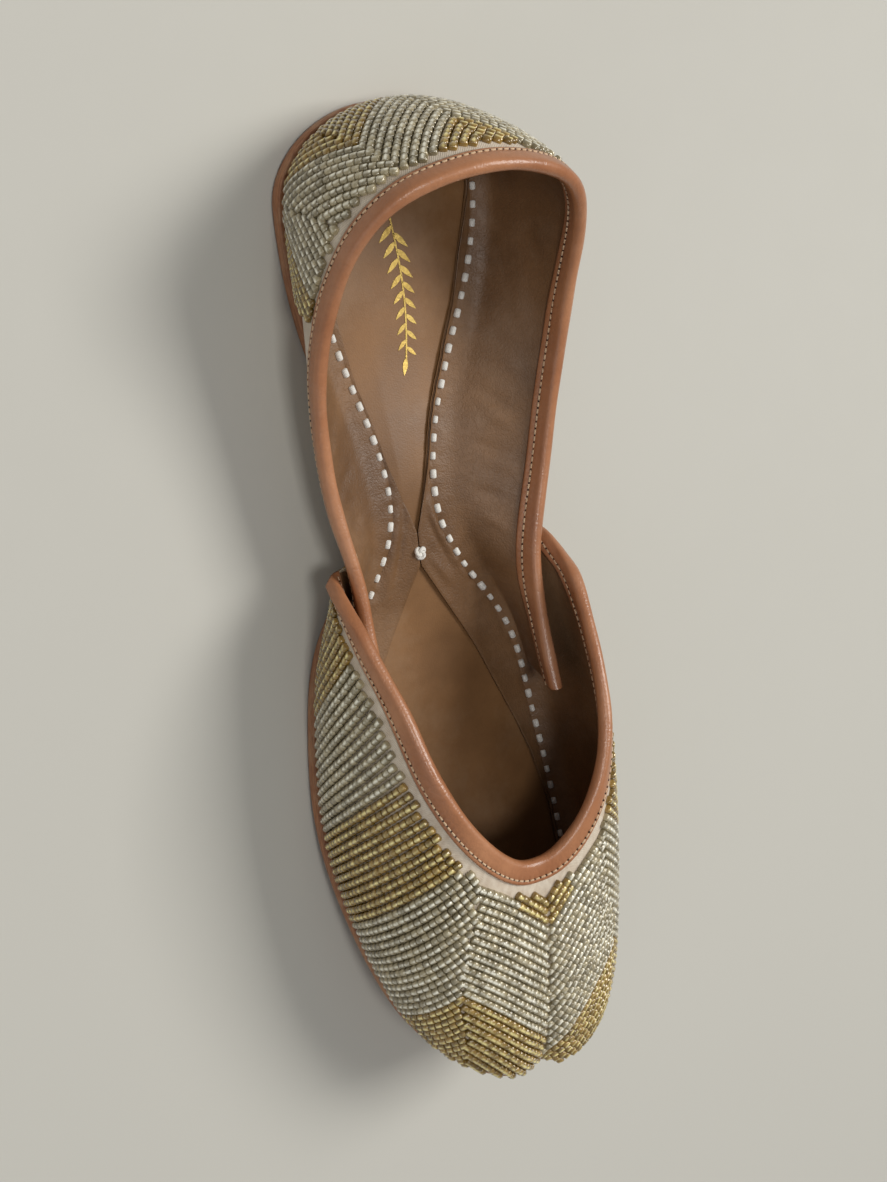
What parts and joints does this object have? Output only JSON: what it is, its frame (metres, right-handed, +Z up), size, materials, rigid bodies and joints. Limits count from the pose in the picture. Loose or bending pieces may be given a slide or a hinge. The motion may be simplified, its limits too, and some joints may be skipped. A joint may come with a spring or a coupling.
{
  "type": "mojari shoe",
  "caption": "Flat slip-on mojari shoe with a beaded vamp and heel, folded leather edging, an open instep and a slightly raised blunt toe.",
  "frame": {"origin": "on the floor, under the middle of the shoe's overall box", "axes": "+X from heel to toe, +Y to the wearer's left, +Z up"},
  "size_m": [0.251, 0.0768, 0.0557],
  "materials": {
    "sole_leather": "waxed vegetable-tanned leather edge",
    "insole_leather": "smooth satin",
    "upper_cloth": "plain weave cotton over leather",
    "tape_leather": "soft satin",
    "lining_leather": "matt, fine wrinkles",
    "beads_silver": "silver-lined bugle beads",
    "beads_gold": "gold-lined bugle beads",
    "thread": "waxed cotton",
    "gold_foil": "hot-stamped foil"
  },
  "bodies": {
    "root": {"outsole": "sole_leather", "insole": "insole_leather", "upper": "upper_cloth", "collar_binding": "tape_leather", "throat_binding": "tape_leather"}
  },
  "joints": []
}
